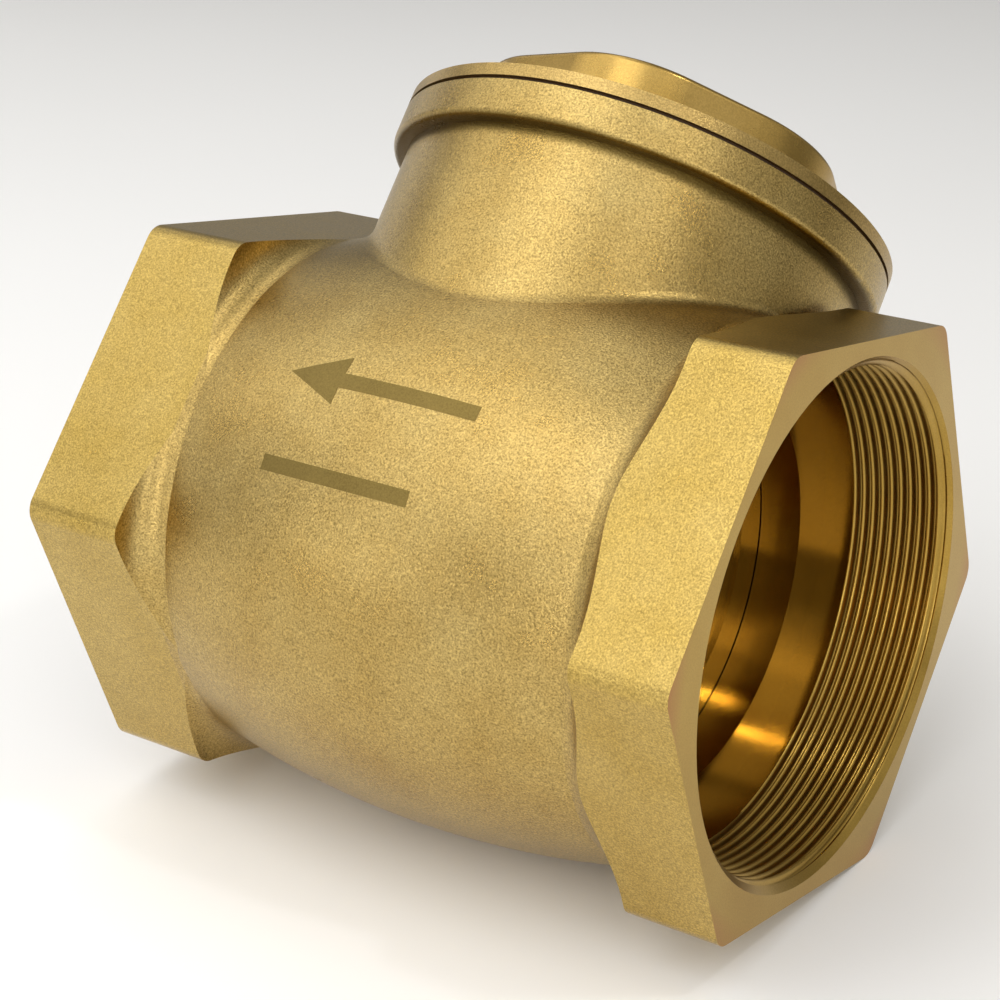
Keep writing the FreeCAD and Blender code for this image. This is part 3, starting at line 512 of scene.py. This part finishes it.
# Cut thread brass: the same metal, duller, since the cutter tears its flanks a little.
thread_brass = brass(
    "cut_thread_brass", "#B4944A", "#A6843B", roughness=0.30,
    grain_mm=0.40, grain_depth_mm=0.006, sparkle=0.10)
PITCH, ROOT_DEPTH = 2.309 * MM, 1.479 * MM
MOUTH_RADIUS, RELIEF_RADIUS = 57.4 * MM, 57.0 * MM
START_TURN = -0.16
thread_tree = pipe_thread_tree()
for port, face_x, inward in (("inlet", body_high.x, -1.0), ("outlet", body_low.x, 1.0)):
    carrier = bpy.data.objects.new(port + "_thread_maker", bpy.data.meshes.new(port + "_thread_maker"))
    bpy.context.scene.collection.objects.link(carrier)
    winding = carrier.modifiers.new("pipe_thread", "NODES")
    winding.node_group = thread_tree
    for socket, value in {
        "Pitch": PITCH, "Crest Radius": CREST_RADIUS, "Root Depth": ROOT_DEPTH,
        "Mouth Radius": MOUTH_RADIUS, "Relief Radius": RELIEF_RADIUS, "Sleeve Radius": SLEEVE_RADIUS,
        "Length": THREAD_LENGTH, "Face X": face_x, "Inward": inward, "Start Turn": START_TURN,
        "Metal": thread_brass,
    }.items():
        set_input(winding, socket, value)
    thread = made_real(carrier, port + "_thread")
    thread.data.shade_smooth()
    thread.data.set_sharp_from_angle(angle=math.radians(40))
    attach(thread, "valve")


# Bonnet cap: a brass casting screwed into the neck, blasted like the body, with a machined
# hexagonal boss on top for the spanner.
# Blasted cap brass: a finer bite than on the body, so a softer, more even sheen with less sparkle.
cap_brass = brass(
    "blasted_cap_brass", "#B1965D", "#A3874E", roughness=0.32,
    grain_mm=0.40, grain_depth_mm=0.060, sparkle=0.32)
# Machined boss brass: hardly any grain, so the boss looks smooth and calm above the blasted rim.
boss_brass = brass(
    "machined_boss_brass", "#B19354", "#A78745", roughness=0.28,
    grain_mm=0.40, grain_depth_mm=0.008, sparkle=0.14)
bonnet_cap = merged_copy("bonnet_cap", "bonnet_cap_casting")
bonnet_cap.data.materials.append(cap_brass)
bonnet_cap.data.materials.append(boss_brass)
restore_normals(bonnet_cap)
RIM_TOP = 88.2 * MM
for face in bonnet_cap.data.polygons:
    rise = (face.center - Vector((middle_x, 0, 0))).dot(bonnet_axis)
    face.material_index = 1 if rise > RIM_TOP + 0.3 * MM else 0
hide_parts("bonnet_cap")
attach(bonnet_cap, "valve")

# Cap gasket: a thin flat ring of compressed fibre, laid on the neck's rim and pinched there by the
# screwed cap. Only its edge shows, as a dark, dull seam in the brass.
fibre, tree = finish_for("compressed_fibre_gasket")
fluff = put(tree, "ShaderNodeTexNoise", {
    "Vector": put(tree, "ShaderNodeTexCoord").outputs["Object"], "Scale": 1 / (0.8 * MM), "Detail": 4.0})
fibre_tint = put(tree, "ShaderNodeMix", {
    "Factor": fluff, "A": srgb("#2A1A0C"), "B": srgb("#4A3018")}, data_type="RGBA")
put(tree, "ShaderNodeOutputMaterial", {"Surface": put(tree, "ShaderNodeBsdfPrincipled", {
    "Base Color": fibre_tint.outputs["Result"], "Roughness": 0.8,
    "Normal": put(tree, "ShaderNodeBump", {"Distance": 0.05 * MM, "Height": fluff})})})
frame["nodes"]["cap_gasket"].data.materials[0] = fibre

# Flap disc: a round brass disc with its stud in one piece, turned on the lathe, which leaves it
# bright. The stud hangs in the eye of the hinge arm.
frame["nodes"]["flap_disc"].data.materials[0] = turned_brass

# Disc washer and nut: small brass turnings on the disc's stud, which hold the disc on the arm. Their
# smooth satin brass is plainer and duller than the disc.
nut_brass = brass(
    "turned_nut_brass", "#B29658", "#A58646", roughness=0.28,
    grain_mm=0.40, grain_depth_mm=0.005, sparkle=0.10)
for node in ("disc_washer", "disc_nut"):
    frame["nodes"][node].data.materials[0] = nut_brass

# Side plug: a brass plug with a hexagon head, screwed into the boss at the back of the neck, where
# it closes the drilling for the hinge pin. It has the nut's satin brass.
frame["nodes"]["side_plug"].data.materials[0] = nut_brass

# Hinge arm: a small brass casting, its hub on the hinge pin and its eye loose on the disc's stud. It
# is blasted and not polished, so it sparkles like the body.
frame["nodes"]["hinge_arm"].data.materials[0] = blasted_brass


# Hinge pin and split pin: drawn stainless steel, which looks cool and grey among the brass. The pin
# is a plain bar, loose in its hole behind the side plug, and the split pin locks the disc's nut.
def drawn_steel(name, pale, deep):
    """Drawn stainless wire or bar: a grey metal with soft clouds and a light grain."""
    material, tree = finish_for(name)
    place = put(tree, "ShaderNodeTexCoord").outputs["Object"]
    draw = put(tree, "ShaderNodeTexNoise", {"Vector": place, "Scale": 1 / (1.2 * MM), "Detail": 4.0})
    tint = put(tree, "ShaderNodeMix", {"Factor": draw, "A": srgb(deep), "B": srgb(pale)}, data_type="RGBA")
    rough = put(tree, "ShaderNodeMapRange", {"Value": draw, "To Min": 0.24, "To Max": 0.36})
    put(tree, "ShaderNodeOutputMaterial", {"Surface": put(tree, "ShaderNodeBsdfPrincipled", {
        "Base Color": tint.outputs["Result"], "Metallic": 1.0, "Roughness": rough,
        "Normal": put(tree, "ShaderNodeBump", {"Distance": 0.004 * MM, "Height": draw})})})
    return material


frame["nodes"]["hinge_pin"].data.materials[0] = drawn_steel("drawn_stainless_bar", "#C4C3BF", "#A9A8A4")
frame["nodes"]["split_pin"].data.materials[0] = drawn_steel("stainless_wire", "#BFBEBA", "#A29F99")

# Plug washer: a soft ring of annealed copper, pinched under the side plug's head to seal it. Its
# edge shows as a thin pink line.
copper_ring = brass(
    "annealed_copper", "#D69A78", "#B97A58", roughness=0.38,
    grain_mm=0.30, grain_depth_mm=0.005, sparkle=0.10)
frame["nodes"]["plug_washer"].data.materials[0] = copper_ring
